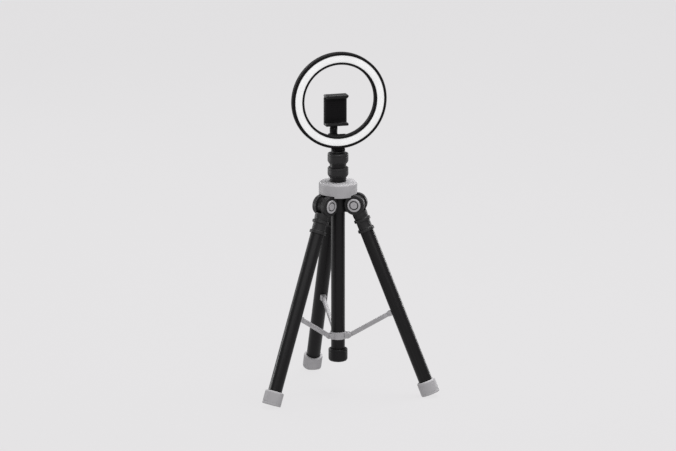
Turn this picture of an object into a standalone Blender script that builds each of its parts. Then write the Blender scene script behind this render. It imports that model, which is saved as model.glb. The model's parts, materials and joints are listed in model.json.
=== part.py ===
"""Ring light on a folding tripod.

Lengths are in millimetres in the constants and are turned into metres by MM.
The column axis is the local Z axis of the root empty, the floor is z = 0, the
ring faces -Y and the third leg points to +Y.
"""
import math

import bmesh
import bpy

MM = 0.001
GAP = 0.3                       # clearance between touching pieces
ROUND = 24                      # segments round a tube
RING_ROUND = 56                 # segments round the lamp ring

# tripod
LEG_NAMES = ("a", "b", "c")
LEG_AZIMUTH = (-150.0, -30.0, 90.0)
LEG_LEAN = 22.0
PIVOT_R = 38.6
PIVOT_Z = 403.4
LEG_LENGTH = 429.3
TUBE_R = 14.5
TUBE_WALL = 1.2
BARREL_R = 21.0
BARREL_HALF = 17.7
SLOT_HALF = 7.5
TONGUE_HALF = 7.1
LUG_BARREL_R = 18.3
FOOT_R = 19.75
FOOT_TOP = 400.0
BRACKET_S = 241.0
STRUT_INWARD = 20.0
STRUT_HALF_THICK = 3.0
STRUT_END_R = 4.1
STRUT_HALF_WIDTH = 4.7
STRUT_IN_R = 26.0
STRUT_IN_Z = 121.5

# column
HUB_R = 40.0
HUB_BOTTOM = 420.3
HUB_TOP = 449.6
SLEEVE_R = 17.2
SLEEVE_BORE = 14.8
SLEEVE_TOP = 498.0
COLLAR_R = 21.75
LOWER_COLLAR_Z = (459.3, 479.9)
UPPER_COLLAR_Z = (488.0, 509.8)
COLLAR_SHOULDER_Z = 499.0
POLE_R = 12.4
POLE_BORE = 11.0
POLE_BOTTOM = 330.0
POLE_TOP = 507.9
CENTRE_TUBE_Z = (74.3, 478.0)
BOTTOM_CAP_Z = (64.2, 91.8)
BOTTOM_CAP_R = 20.0
SPREADER_Z = (112.5, 128.0)
SPREADER_R = 16.5

# head
TILT_Z = 516.0
LUG_R = 5.2
RING_Z = 623.0
RING_R = 101.5
RING_HOLE_R = 76.0
BAND_R = (80.7, 96.0)
RING_BACK = -2.0                # along the ring axis, front positive
RING_FRONT = 15.0

# phone clamp
CLAMP_Z = 596.0
CLAMP_HALF_W = 24.5
CLAMP_BOTTOM = 565.0
CLAMP_TOP = 630.5
JAW_H = 5.5
JAW_FRONT_Y = 3.0
PLATE_Y = (18.0, 25.0)
ARM_Y = 33.6
STEM_R = 8.1

lean = math.radians(LEG_LEAN)


# ---------------------------------------------------------------- scene set-up
for old in list(bpy.data.objects):
    bpy.data.objects.remove(old, do_unlink=True)

parts = bpy.data.collections.new("ring_light")
cutters = bpy.data.collections.new("cutters")
bpy.context.scene.collection.children.link(parts)
bpy.context.scene.collection.children.link(cutters)


def material(name, color, roughness, metallic=0.0):
    mat = bpy.data.materials.new(name)
    mat.use_nodes = True
    shader = mat.node_tree.nodes["Principled BSDF"]
    shader.inputs["Base Color"].default_value = (*color, 1.0)
    shader.inputs["Roughness"].default_value = roughness
    shader.inputs["Metallic"].default_value = metallic
    return mat


COLORS = {
    "black_plastic": ((0.016, 0.016, 0.017), 0.48, 0.0),
    "black_tube": ((0.018, 0.018, 0.019), 0.38, 0.0),
    "grey_plastic": ((0.30, 0.30, 0.31), 0.5, 0.0),
    "white_diffuser": ((0.86, 0.86, 0.85), 0.45, 0.0),
    "steel": ((0.55, 0.55, 0.56), 0.3, 1.0),
    "rubber": ((0.03, 0.03, 0.03), 0.8, 0.0),
    "board": ((0.75, 0.75, 0.72), 0.5, 0.0),
}


def finish(obj, name, mat, parent, smooth_angle=35.0):
    """Name, colour, parent and smooth one piece."""
    obj.name = name
    obj.data.name = name
    color, roughness, metallic = COLORS[mat]
    obj.data.materials.clear()
    obj.data.materials.append(material(name + "_mat", color, roughness, metallic))
    if parent is not None:
        obj.parent = parent
    if smooth_angle:
        obj.data.shade_smooth()
        obj.data.set_sharp_from_angle(angle=math.radians(smooth_angle))
    return obj


def place(obj, at=(0, 0, 0), turn=(0, 0, 0)):
    obj.location = [v * MM for v in at]
    obj.rotation_euler = [math.radians(v) for v in turn]
    return obj


def empty(name, parent=None, at=(0, 0, 0), turn=(0, 0, 0)):
    obj = bpy.data.objects.new(name, None)
    parts.objects.link(obj)
    obj.empty_display_size = 0.02
    obj.parent = parent
    return place(obj, at, turn)


def hide(obj):
    """Keep a cutter out of the object."""
    for coll in list(obj.users_collection):
        coll.objects.unlink(obj)
    cutters.objects.link(obj)
    obj.hide_render = True
    obj.display_type = "WIRE"
    return obj


def lathe(profile, segments=ROUND, closed=False):
    """Turn an (r, z) profile, outer side from top to bottom, about local Z."""
    mesh = bpy.data.meshes.new("lathe")
    verts = [(r * MM, 0.0, z * MM) for r, z in profile]
    edges = [(i, i + 1) for i in range(len(verts) - 1)]
    if closed:
        edges.append((len(verts) - 1, 0))
    mesh.from_pydata(verts, edges, [])
    obj = bpy.data.objects.new("lathe", mesh)
    parts.objects.link(obj)
    screw = obj.modifiers.new("turn", "SCREW")
    screw.steps = segments
    screw.render_steps = segments
    screw.use_merge_vertices = True
    screw.merge_threshold = 0.00001
    return bake(obj)


def bake(obj):
    """Turn an object and its modifiers into one plain mesh."""
    graph = bpy.context.evaluated_depsgraph_get()
    mesh = bpy.data.meshes.new_from_object(obj.evaluated_get(graph))
    obj.modifiers.clear()
    work = bmesh.new()
    work.from_mesh(mesh)
    bmesh.ops.remove_doubles(work, verts=work.verts, dist=0.00001)
    bmesh.ops.recalc_face_normals(work, faces=work.faces)
    work.to_mesh(mesh)
    work.free()
    if obj.type == "MESH":
        obj.data = mesh
        return obj
    fresh = bpy.data.objects.new(obj.name, mesh)
    parts.objects.link(fresh)
    fresh.matrix_world = obj.matrix_world
    bpy.data.objects.remove(obj, do_unlink=True)
    return fresh


def box(low, high, bevel=0.0, segments=1):
    """An axis-aligned box between two corners, edges rounded by bevel."""
    size = [(b - a) * MM for a, b in zip(low, high)]
    middle = [(b + a) / 2 * MM for a, b in zip(low, high)]
    mesh = bpy.data.meshes.new("box")
    work = bmesh.new()
    bmesh.ops.create_cube(work, size=1.0)
    bmesh.ops.scale(work, vec=size, verts=work.verts)
    bmesh.ops.translate(work, vec=middle, verts=work.verts)
    work.to_mesh(mesh)
    work.free()
    obj = bpy.data.objects.new("box", mesh)
    parts.objects.link(obj)
    if bevel:
        mod = obj.modifiers.new("edges", "BEVEL")
        mod.width = bevel * MM
        mod.segments = segments
        bake(obj)
    return obj


def cylinder(radius, low, high, segments=ROUND, edge=0.0):
    """A solid cylinder about local Z from low to high."""
    if edge:
        profile = [(0, high), (radius - edge, high), (radius, high - edge),
                   (radius, low + edge), (radius - edge, low), (0, low)]
    else:
        profile = [(0, high), (radius, high), (radius, low), (0, low)]
    return lathe(profile, segments)


def tube(outer, inner, low, high, segments=ROUND, edge=0.0):
    """A hollow cylinder about local Z, its outer rims chamfered by edge."""
    if edge:
        profile = [(inner, high), (outer - edge, high), (outer, high - edge),
                   (outer, low + edge), (outer - edge, low), (inner, low)]
    else:
        profile = [(inner, high), (outer, high), (outer, low), (inner, low)]
    return lathe(profile, segments, closed=True)


def slab(outline, half_thick, edge=0.0):
    """A plate of half_thick each way, its outline in X and Z, thickness in Y."""
    curve = bpy.data.curves.new("slab", "CURVE")
    curve.dimensions = "2D"
    curve.fill_mode = "BOTH"
    curve.extrude = (half_thick - edge) * MM
    curve.bevel_depth = edge * MM
    curve.bevel_resolution = 0
    curve.offset = -edge * MM
    spline = curve.splines.new("POLY")
    spline.points.add(len(outline) - 1)
    for point, (x, z) in zip(spline.points, outline):
        point.co = (x * MM, z * MM, 0.0, 1.0)
    spline.use_cyclic_u = True
    obj = bpy.data.objects.new("slab", curve)
    parts.objects.link(obj)
    obj = bake(obj)
    work = bmesh.new()
    work.from_mesh(obj.data)
    for vert in work.verts:
        x, y, z = vert.co
        vert.co = (x, -z, y)
    work.to_mesh(obj.data)
    work.free()
    return obj


def arc(cx, cz, radius, start, stop, count):
    """Points on a circle from start to stop degrees."""
    steps = [start + (stop - start) * i / (count - 1) for i in range(count)]
    return [(cx + radius * math.cos(math.radians(a)), cz + radius * math.sin(math.radians(a)))
            for a in steps]


def join(target, others, operation="UNION"):
    """Boolean other pieces into target, then keep them as hidden cutters."""
    bpy.context.view_layer.update()
    for other in others:
        mod = target.modifiers.new(operation.lower(), "BOOLEAN")
        mod.operation = operation
        mod.solver = "EXACT"
        mod.object = other
    bake(target)
    for other in others:
        hide(other)
    return target


def turned(obj, turn=(0, 0, 0), at=(0, 0, 0)):
    """Turn and shift the mesh itself, leaving the object at its origin."""
    place(obj, at, turn)
    bpy.context.view_layer.update()
    obj.data.transform(obj.matrix_world)
    place(obj)
    bpy.context.view_layer.update()
    return obj


# ---------------------------------------------------------------- root
def foot_reach():
    """How far the feet reach behind and in front of the column axis."""
    centre = PIVOT_R + LEG_LENGTH * math.sin(lean)
    across = math.cos(math.radians(30.0))
    back = centre + FOOT_R * math.cos(lean)
    front = centre * 0.5 + FOOT_R * math.hypot(0.5 * math.cos(lean), across)
    return back, front


back_reach, front_reach = foot_reach()
root = empty("ring_light_root", at=(0, -(back_reach - front_reach) / 2, 0))


# ---------------------------------------------------------------- hub
def make_hub():
    def radial(obj, angle):
        return turned(obj, (0, 0, angle))

    body = tube(18.4, TUBE_R + 0.4, 386.0, 420.0)
    tongue_shape = ([(16.0, 419.8), (16.0, 386.2), (28.0, 385.4)]
                    + arc(PIVOT_R, PIVOT_Z, LUG_BARREL_R, -110.0, 115.0, 15))
    tongues = [radial(slab(tongue_shape, TONGUE_HALF), angle) for angle in LEG_AZIMUTH]
    bores = []
    for angle in LEG_AZIMUTH:
        bore = turned(cylinder(3.3, -20.0, 20.0, 16), (90, 0, 0), (PIVOT_R, 0, PIVOT_Z))
        bores.append(radial(bore, angle))
    join(body, tongues)
    join(body, bores, "DIFFERENCE")
    column = cylinder(TUBE_R + 0.4, 380.0, 430.0)
    join(body, [column], "DIFFERENCE")
    finish(body, "hub_body", "black_plastic", root)

    rim = 5.0
    profile = [(17.5, HUB_TOP), (HUB_R - rim, HUB_TOP), (HUB_R - 2.5, HUB_TOP - 0.67),
               (HUB_R - 0.67, HUB_TOP - 2.5), (HUB_R, HUB_TOP - rim),
               (HUB_R, HUB_BOTTOM + 0.8), (HUB_R - 0.8, HUB_BOTTOM), (17.5, HUB_BOTTOM)]
    cap = lathe(profile, 40, closed=True)
    pockets = []
    for angle in LEG_AZIMUTH:
        pocket = turned(cylinder(BARREL_R + 0.5, -22.0, 22.0, 32), (90, 0, 0), (PIVOT_R, 0, PIVOT_Z))
        pockets.append(radial(pocket, angle))
    join(cap, pockets, "DIFFERENCE")
    finish(cap, "hub_cap", "grey_plastic", root)

    sleeve = tube(SLEEVE_R, SLEEVE_BORE, HUB_BOTTOM + GAP, SLEEVE_TOP)
    finish(sleeve, "column_sleeve", "black_tube", root)
    bush = tube(14.5, 12.75, 482.0, SLEEVE_TOP, 24)
    finish(bush, "pole_bush", "black_plastic", root)


def collar_profile(low, high, bore, shoulder=None, top_bore=None):
    edge = 2.2
    points = [(COLLAR_R - edge, high), (COLLAR_R - 0.65, high - 0.65), (COLLAR_R, high - edge),
              (COLLAR_R, low + 5.2), (COLLAR_R - 2.9, low), (bore, low)]
    if shoulder is None:
        return [(bore, high)] + points
    return [(top_bore, high)] + points + [(bore, shoulder), (top_bore, shoulder)]


def make_collars():
    low, high = LOWER_COLLAR_Z
    turn = empty("collar_lower_axis", root)
    piece = lathe(collar_profile(low, high, SLEEVE_R + GAP), 28, closed=True)
    finish(piece, "lock_collar_lower", "black_plastic", turn)
    low, high = UPPER_COLLAR_Z
    turn = empty("collar_upper_axis", root)
    profile = collar_profile(low, high, SLEEVE_R + GAP, COLLAR_SHOULDER_Z, POLE_R + 0.35)
    piece = lathe(profile, 28, closed=True)
    finish(piece, "lock_collar_upper", "black_plastic", turn)


# ---------------------------------------------------------------- centre tube
def make_centre():
    slide = empty("centre_tube_slide", root)
    low, high = CENTRE_TUBE_Z
    finish(tube(TUBE_R, POLE_R + 0.5, low, high), "centre_tube", "black_tube", slide)

    low, high = BOTTOM_CAP_Z
    floor = 74.0
    profile = [(SLEEVE_BORE, high), (BOTTOM_CAP_R - 1.5, high), (BOTTOM_CAP_R, high - 1.5),
               (BOTTOM_CAP_R, low + 5.0), (BOTTOM_CAP_R - 2.0, low + 1.6),
               (BOTTOM_CAP_R - 6.0, low), (0, low)]
    profile = [(0, floor), (SLEEVE_BORE, floor)] + profile
    finish(lathe(profile), "column_bottom_cap", "black_plastic", slide)

    low, high = SPREADER_Z
    collar = tube(SPREADER_R, SLEEVE_BORE, low, high, edge=0.8)
    ears = []
    ear_shape = [(15.6, high - 1.0), (15.6, low + 1.6), (24.0, low + 2.0)]
    ear_shape += arc(STRUT_IN_R, STRUT_IN_Z, 4.6, -60.0, 60.0, 7) + [(23.0, high - 1.0)]
    for angle in LEG_AZIMUTH:
        for side in (-1, 1):
            ear = turned(slab(ear_shape, 1.5), at=(0, side * 4.9, 0))
            rivet = turned(cylinder(2.6, -0.6, 0.6, 8), (90, 0, 0),
                           (STRUT_IN_R, side * 6.7, STRUT_IN_Z))
            join(ear, [rivet])
            ears.append(turned(ear, (0, 0, angle)))
    join(collar, ears)
    finish(collar, "spreader_collar", "grey_plastic", slide)


# ---------------------------------------------------------------- legs
def make_knuckle(axis, name):
    barrel = turned(cylinder(BARREL_R, -BARREL_HALF, BARREL_HALF, 28, 0.8), (90, 0, 0))
    spigot_r = TUBE_R - TUBE_WALL - GAP
    neck = lathe([(0, -5.0), (15.6, -5.0), (15.6, -26.0), (14.6, -32.0), (17.6, -33.0),
                  (17.6, -38.4), (14.5, -39.4), (14.5, -54.0), (17.6, -55.0), (17.6, -61.0),
                  (spigot_r, -61.0), (spigot_r, -84.0), (spigot_r - 1.0, -85.0), (0, -85.0)])
    join(barrel, [neck])
    slot = box((-30, -SLOT_HALF, -18.8), (30, SLOT_HALF, 30))
    bore = turned(cylinder(3.3, -30.0, 30.0, 16), (90, 0, 0))
    join(barrel, [slot, bore], "DIFFERENCE")
    finish(barrel, f"leg_{name}_knuckle", "black_plastic", axis)


def make_leg(name, azimuth):
    at = (PIVOT_R * math.cos(math.radians(azimuth)), PIVOT_R * math.sin(math.radians(azimuth)),
          PIVOT_Z)
    axis = empty(f"leg_{name}_axis", root, at, (0, -LEG_LEAN, azimuth))
    make_knuckle(axis, name)

    pin = turned(cylinder(3.0, -BARREL_HALF, BARREL_HALF, 16), (90, 0, 0))
    finish(pin, f"leg_{name}_pin", "steel", axis)
    for side, label in ((-1, "right"), (1, "left")):
        cap = lathe([(0, 2.3), (7.4, 2.3), (7.6, 0.6), (9.6, 0.6), (9.8, 2.4), (12.9, 2.4),
                     (14.0, 1.3), (14.0, 0.0), (0, 0.0)], 20)
        turned(cap, (-90 * side, 0, 0), (0, side * (BARREL_HALF + GAP), 0))
        finish(cap, f"leg_{name}_cap_{label}", "grey_plastic", axis)

    piece = tube(TUBE_R, TUBE_R - TUBE_WALL, -(LEG_LENGTH - 8.4), -61.3)
    finish(piece, f"leg_{name}_tube", "black_tube", axis)

    bottom = -LEG_LENGTH
    socket = bottom + 8.0
    profile = [(0, socket), (SLEEVE_BORE, socket), (SLEEVE_BORE, -FOOT_TOP),
               (FOOT_R - 3.0, -FOOT_TOP), (FOOT_R - 0.8, -FOOT_TOP - 1.2),
               (FOOT_R, -FOOT_TOP - 4.0), (FOOT_R, bottom + 0.6), (FOOT_R - 0.6, bottom),
               (0, bottom)]
    foot = lathe(profile, 28)
    floor_cut = box((-60, -60, -40), (60, 60, 0))
    along = LEG_LENGTH
    height = PIVOT_Z - along * math.cos(lean)
    turned(floor_cut, (0, LEG_LEAN, 0), (-height * math.sin(lean), 0, -along - height * math.cos(lean)))
    join(foot, [floor_cut], "DIFFERENCE")
    finish(foot, f"leg_{name}_foot", "grey_plastic", axis)

    saddle = box((-23.0, -5.6, -BRACKET_S - 5.6), (-7, 5.6, -BRACKET_S + 5.6), 1.0)
    round_cut = cylinder(SLEEVE_BORE, -BRACKET_S - 20, -BRACKET_S + 20)
    slot = box((-40, -3.3, -BRACKET_S - 20), (-15.5, 3.3, -BRACKET_S + 20))
    bore = turned(cylinder(2.0, -20, 20, 12), (90, 0, 0), (-STRUT_INWARD, 0, -BRACKET_S))
    join(saddle, [round_cut, slot, bore], "DIFFERENCE")
    finish(saddle, f"leg_{name}_bracket", "grey_plastic", axis)
    pin = turned(cylinder(1.7, -5.5, 5.5, 12), (90, 0, 0), (-STRUT_INWARD, 0, -BRACKET_S))
    finish(pin, f"leg_{name}_strut_pin", "steel", axis)
    make_strut(name, axis)


def strut_rest():
    """Length of a strut and its lean from the vertical in the open stance."""
    out_r = PIVOT_R + BRACKET_S * math.sin(lean) - STRUT_INWARD * math.cos(lean)
    out_z = PIVOT_Z - BRACKET_S * math.cos(lean) - STRUT_INWARD * math.sin(lean)
    run = out_r - STRUT_IN_R
    rise = out_z - STRUT_IN_Z
    return math.hypot(run, rise), math.degrees(math.atan2(run, rise))


def make_strut(name, axis):
    length, tilt = strut_rest()
    swing = empty(f"strut_{name}_axis", axis, (-STRUT_INWARD, 0, -BRACKET_S), (0, tilt + LEG_LEAN, 0))
    belly = STRUT_HALF_WIDTH
    outline = arc(0, 0, STRUT_END_R, 20.0, 160.0, 7) + [(-belly, -9.0), (-belly, -length + 9.0)]
    outline += arc(0, -length, STRUT_END_R, 200.0, 340.0, 7) + [(belly, -length + 9.0), (belly, -9.0)]
    bar = slab(outline, STRUT_HALF_THICK, 0.5)
    bore = turned(cylinder(2.0, -20, 20, 12), (90, 0, 0))
    join(bar, [bore], "DIFFERENCE")
    finish(bar, f"strut_{name}", "grey_plastic", swing)


# ---------------------------------------------------------------- head
def make_pole():
    slide = empty("pole_slide", root)
    finish(tube(POLE_R, POLE_BORE, POLE_BOTTOM, POLE_TOP), "inner_pole", "black_tube", slide)
    pan = empty("head_pan_axis", slide)
    base = lathe([(0, 515.3), (13.7, 515.3), (14.5, 514.5), (14.5, 510.3), (POLE_BORE - GAP, 510.3),
                  (POLE_BORE - GAP, 481.0), (0, 481.0)])
    lugs = []
    for side in (-1, 1):
        lug = turned(cylinder(LUG_R, -3.8, 3.8, 20), (0, 90, 0), (side * 10.3, 0, TILT_Z))
        lugs.append(lug)
    join(base, lugs)
    slot = box((-6.5, -20, TILT_Z - LUG_R - 0.8), (6.5, 20, TILT_Z + 20))
    bore = turned(cylinder(2.2, -20, 20, 12), (0, 90, 0), (0, 0, TILT_Z))
    join(base, [slot, bore], "DIFFERENCE")
    finish(base, "head_base", "black_plastic", pan)
    pin = turned(cylinder(1.9, -14.0, 14.0, 12), (0, 90, 0), (0, 0, TILT_Z))
    finish(pin, "tilt_pin", "steel", pan)
    return pan


def make_mount(tilt):
    """Local frame has its origin on the tilt axis."""
    up = -TILT_Z
    shape = arc(0, 0, LUG_R, 100.0, 290.0, 12)
    shape += [(7.0, 0.5), (15.5, 4.0), (15.5, 23.0), (3.1, 23.0), (3.1, 5.1)]
    tongue = turned(slab(shape, 6.1), (0, 0, 90))
    plate = box((-18, 2.3, 524 + up), (18, 8.0, 548 + up), 1.0)
    block = box((-10, 7.0, 526 + up), (10, 43.0, 543 + up), 2.0, 2)
    join(tongue, [plate, block])
    bore = turned(cylinder(2.2, -20, 20, 12), (0, 90, 0))
    socket = turned(cylinder(5.3, 530 + up, 560 + up, 20), at=(0, ARM_Y, 0))
    join(tongue, [bore, socket], "DIFFERENCE")
    finish(tongue, "ring_mount_block", "black_plastic", tilt)


def ring_piece(profile, name, mat, tilt):
    """Lathe about the ring axis, whose front is local +Z before turning to -Y."""
    piece = lathe(profile, RING_ROUND, closed=True)
    turned(piece, (90, 0, 0), (0, 0, RING_Z - TILT_Z))
    return finish(piece, name, mat, tilt)


def make_ring(tilt):
    seam = 12.4
    wall = 2.0
    housing = [(RING_R - wall, seam), (RING_R, seam), (RING_R, 1.5), (RING_R - 1.0, -0.9),
               (RING_R - 3.4, RING_BACK), (RING_HOLE_R + 3.4, RING_BACK), (RING_HOLE_R + 1.0, -0.9),
               (RING_HOLE_R, 1.5), (RING_HOLE_R, seam), (RING_HOLE_R + wall, seam),
               (RING_HOLE_R + wall, 0.6), (RING_R - wall, 0.6)]
    ring_piece(housing, "ring_rear_housing", "black_plastic", tilt)
    bottom = seam + GAP
    outer = [(BAND_R[1], RING_FRONT), (RING_R - 2.0, RING_FRONT), (RING_R - 0.6, RING_FRONT - 0.6),
             (RING_R, bottom + 0.4), (RING_R - 0.4, bottom), (BAND_R[1], bottom)]
    ring_piece(outer, "ring_outer_bezel", "black_plastic", tilt)
    inner = [(RING_HOLE_R + 2.0, RING_FRONT), (BAND_R[0], RING_FRONT), (BAND_R[0], bottom),
             (RING_HOLE_R + 0.4, bottom), (RING_HOLE_R, bottom + 0.4),
             (RING_HOLE_R + 0.6, RING_FRONT - 0.6)]
    ring_piece(inner, "ring_inner_bezel", "black_plastic", tilt)
    low, high = BAND_R[0] + GAP, BAND_R[1] - GAP
    face = [(low, 14.2), ((low + high) / 2, 14.6), (high, 14.2), (high, 12.5), (low, 12.5)]
    ring_piece(face, "diffuser", "white_diffuser", tilt)
    guide = [(79.0, 11.9), (98.5, 11.9), (98.5, 10.4), (79.0, 10.4)]
    ring_piece(guide, "light_guide", "white_diffuser", tilt)
    board = [(79.5, 2.6), (98.0, 2.6), (98.0, 1.0), (79.5, 1.0)]
    ring_piece(board, "led_board", "board", tilt)

    up = -TILT_Z
    inlet = box((33, 2.3, 539 + up), (47, 9.0, 548 + up), 1.5, 2)
    port = box((36, 5.0, 542 + up), (44, 20.0, 545 + up), 1.0, 2)
    join(inlet, [port], "DIFFERENCE")
    finish(inlet, "power_inlet", "black_plastic", tilt)


def make_clamp(tilt):
    up = -TILT_Z
    arm = turned(cylinder(STEM_R, 543.4 + up, 556.0 + up, 24, 1.0), at=(0, ARM_Y, 0))
    spigot = turned(cylinder(5.0, 530.4 + up, 548.0 + up, 20), at=(0, ARM_Y, 0))
    blade = box((-8.0, 29.0, 550.0 + up), (8.0, 35.5, 606.0 + up), 1.5, 2)
    disc = turned(cylinder(12.0, -34.5, -PLATE_Y[1] - GAP, 24), (90, 0, 0), (0, 0, CLAMP_Z + up))
    join(arm, [spigot, blade, disc])
    bore = turned(cylinder(3.3, -50, 50, 16), (90, 0, 0), (0, 0, CLAMP_Z + up))
    join(arm, [bore], "DIFFERENCE")
    finish(arm, "clamp_arm", "black_plastic", tilt)

    swivel = empty("clamp_swivel_axis", tilt, (0, 0, CLAMP_Z + up))
    up = -CLAMP_Z
    seam = CLAMP_TOP - JAW_H
    plate = box((-CLAMP_HALF_W, PLATE_Y[0], CLAMP_BOTTOM + up),
                (CLAMP_HALF_W, PLATE_Y[1], seam - GAP + up), 1.5, 2)
    jaw = box((-CLAMP_HALF_W, JAW_FRONT_Y, CLAMP_BOTTOM + up),
              (CLAMP_HALF_W, PLATE_Y[1], CLAMP_BOTTOM + JAW_H + up), 1.5, 2)
    lip = box((-CLAMP_HALF_W + 2, JAW_FRONT_Y + 0.2, CLAMP_BOTTOM + 2 + up),
              (CLAMP_HALF_W - 2, JAW_FRONT_Y + 3.0, CLAMP_BOTTOM + JAW_H + 1.6 + up), 0.6)
    join(plate, [jaw, lip])
    holes = [turned(cylinder(2.4, 572 + up, 640 + up, 16), at=(x, 21.5, 0)) for x in (-16, 16)]
    holes.append(turned(cylinder(3.3, -60, 0, 16), (90, 0, 0)))
    join(plate, holes, "DIFFERENCE")
    finish(plate, "clamp_body", "black_plastic", swivel)
    pin = turned(cylinder(3.0, -35.0, -PLATE_Y[0] - 0.5, 16), (90, 0, 0))
    finish(pin, "swivel_pin", "steel", swivel)

    slide = empty("clamp_jaw_slide", swivel)
    jaw = box((-CLAMP_HALF_W, JAW_FRONT_Y, seam + up), (CLAMP_HALF_W, PLATE_Y[1], CLAMP_TOP + up), 1.5, 2)
    lip = box((-CLAMP_HALF_W + 2, JAW_FRONT_Y + 0.2, seam - 1.6 + up),
              (CLAMP_HALF_W - 2, JAW_FRONT_Y + 3.0, seam + 3 + up), 0.6)
    join(jaw, [lip])
    finish(jaw, "clamp_jaw", "black_plastic", slide)
    for x, label in ((-16, "left"), (16, "right")):
        rod = turned(cylinder(2.0, 577 + up, seam - GAP + up, 16), at=(x, 21.5, 0))
        finish(rod, f"clamp_rod_{label}", "steel", slide)

    pads = (("lower", CLAMP_BOTTOM + JAW_H + GAP, CLAMP_BOTTOM + JAW_H + 1.8, swivel),
            ("upper", seam - 1.8, seam - GAP, slide))
    for label, low, high, owner in pads:
        pad = box((-20, JAW_FRONT_Y + 4.2, low + up), (20, PLATE_Y[0] - 1.6, high + up), 0.4)
        finish(pad, f"clamp_pad_{label}", "rubber", owner)
    pad = box((-20, PLATE_Y[0] - 1.3, CLAMP_BOTTOM + JAW_H + 4 + up),
              (20, PLATE_Y[0] - GAP, seam - 5 + up), 0.4)
    finish(pad, "clamp_pad_back", "rubber", swivel)


def make_head():
    pan = make_pole()
    tilt = empty("head_tilt_axis", pan, (0, 0, TILT_Z))
    make_mount(tilt)
    make_ring(tilt)
    make_clamp(tilt)


make_hub()
make_collars()
make_centre()
for leg_name, leg_azimuth in zip(LEG_NAMES, LEG_AZIMUTH):
    make_leg(leg_name, leg_azimuth)
make_head()
bpy.context.view_layer.update()
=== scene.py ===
"""Looks of the ring light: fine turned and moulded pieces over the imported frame."""
import json
import math

import bmesh
import bpy
from mathutils import Matrix, Vector


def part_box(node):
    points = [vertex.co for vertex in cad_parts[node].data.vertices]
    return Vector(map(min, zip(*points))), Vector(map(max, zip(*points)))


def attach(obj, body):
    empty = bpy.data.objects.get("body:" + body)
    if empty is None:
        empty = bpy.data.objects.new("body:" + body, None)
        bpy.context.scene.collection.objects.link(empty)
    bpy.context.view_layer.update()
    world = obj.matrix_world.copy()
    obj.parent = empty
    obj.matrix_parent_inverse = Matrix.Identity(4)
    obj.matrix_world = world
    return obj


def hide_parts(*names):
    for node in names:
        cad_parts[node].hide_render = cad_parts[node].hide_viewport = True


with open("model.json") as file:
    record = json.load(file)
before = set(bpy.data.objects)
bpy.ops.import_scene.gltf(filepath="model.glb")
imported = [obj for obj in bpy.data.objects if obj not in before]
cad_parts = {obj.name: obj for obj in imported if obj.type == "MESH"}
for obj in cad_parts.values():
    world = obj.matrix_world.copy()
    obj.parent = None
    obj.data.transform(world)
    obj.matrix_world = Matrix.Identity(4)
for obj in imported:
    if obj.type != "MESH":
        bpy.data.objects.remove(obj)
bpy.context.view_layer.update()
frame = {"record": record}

MM = 0.001
GAP = 0.3
ROUND = 96
RING_ROUND = 256
SMALL_ROUND = 32

# the same driving sizes as the frame, in millimetres; first the tripod
LEG_NAMES = ("a", "b", "c")
LEG_AZIMUTH = (-150.0, -30.0, 90.0)
LEG_LEAN = 22.0
PIVOT_R = 38.6
PIVOT_Z = 403.4
LEG_LENGTH = 429.3
TUBE_R = 14.5
TUBE_WALL = 1.2
BARREL_R = 21.0
BARREL_HALF = 17.7
SLOT_HALF = 7.5
TONGUE_HALF = 7.1
LUG_BARREL_R = 18.3
FOOT_R = 19.75
FOOT_TOP = 400.0
BRACKET_S = 241.0
STRUT_INWARD = 20.0
STRUT_HALF_THICK = 3.0
STRUT_END_R = 4.1
STRUT_HALF_WIDTH = 4.7
STRUT_IN_R = 26.0
STRUT_IN_Z = 121.5

# column
HUB_R = 40.0
HUB_BOTTOM = 420.3
HUB_TOP = 449.6
SLEEVE_R = 17.2
SLEEVE_BORE = 14.8
SLEEVE_TOP = 498.0
COLLAR_R = 21.75
LOWER_COLLAR_Z = (459.3, 479.9)
UPPER_COLLAR_Z = (488.0, 509.8)
COLLAR_SHOULDER_Z = 499.0
POLE_R = 12.4
POLE_BORE = 11.0
POLE_BOTTOM = 330.0
POLE_TOP = 507.9
CENTRE_TUBE_Z = (74.3, 478.0)
BOTTOM_CAP_Z = (64.2, 91.8)
BOTTOM_CAP_R = 20.0
SPREADER_Z = (112.5, 128.0)
SPREADER_R = 16.5

# head
TILT_Z = 516.0
LUG_R = 5.2
RING_Z = 623.0
RING_R = 101.5
RING_HOLE_R = 76.0
BAND_R = (80.7, 96.0)
RING_BACK = -2.0                # along the ring's axis, front positive
RING_FRONT = 15.0

# phone clamp
CLAMP_Z = 596.0
CLAMP_HALF_W = 24.5
CLAMP_BOTTOM = 565.0
CLAMP_TOP = 630.5
JAW_H = 5.5
JAW_FRONT_Y = 3.0
PLATE_Y = (18.0, 25.0)
ARM_Y = 33.6
STEM_R = 8.1

# tripod details
TUBE_FIT = 0.4                  # clearance of a tube in its socket
TUBE_TOP = -61.3                # below the pivot, along the leg
NECK_R = 15.6
WAIST_R = 14.5
FLANGE_R = 17.6
SPIGOT_END = -85.0
FOOT_FLOOR = 8.0
PIVOT_PIN_R = 3.0
PIVOT_BORE_R = 3.3
CAP_R = 14.0
# radii of the black ring in the caps' groove, which is painted shade
GROOVE_SHADE_R = (7.75, 9.45)
HUB_RING_R = 18.4
HUB_RING_Z = (386.0, 420.0)
HUB_RIM = 5.0
POCKET_FIT = 0.5                # clearance of the hub cap round a drum
BRACKET_HALF = 5.6
STRUT_PIN_R = 1.7
STRUT_BORE_R = 2.0
STRUT_FIT = 0.3
EAR_MIDDLE = 4.9                # from the strut's middle plane
EAR_HALF_THICK = 1.5
RIVET_R = 2.6

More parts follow.
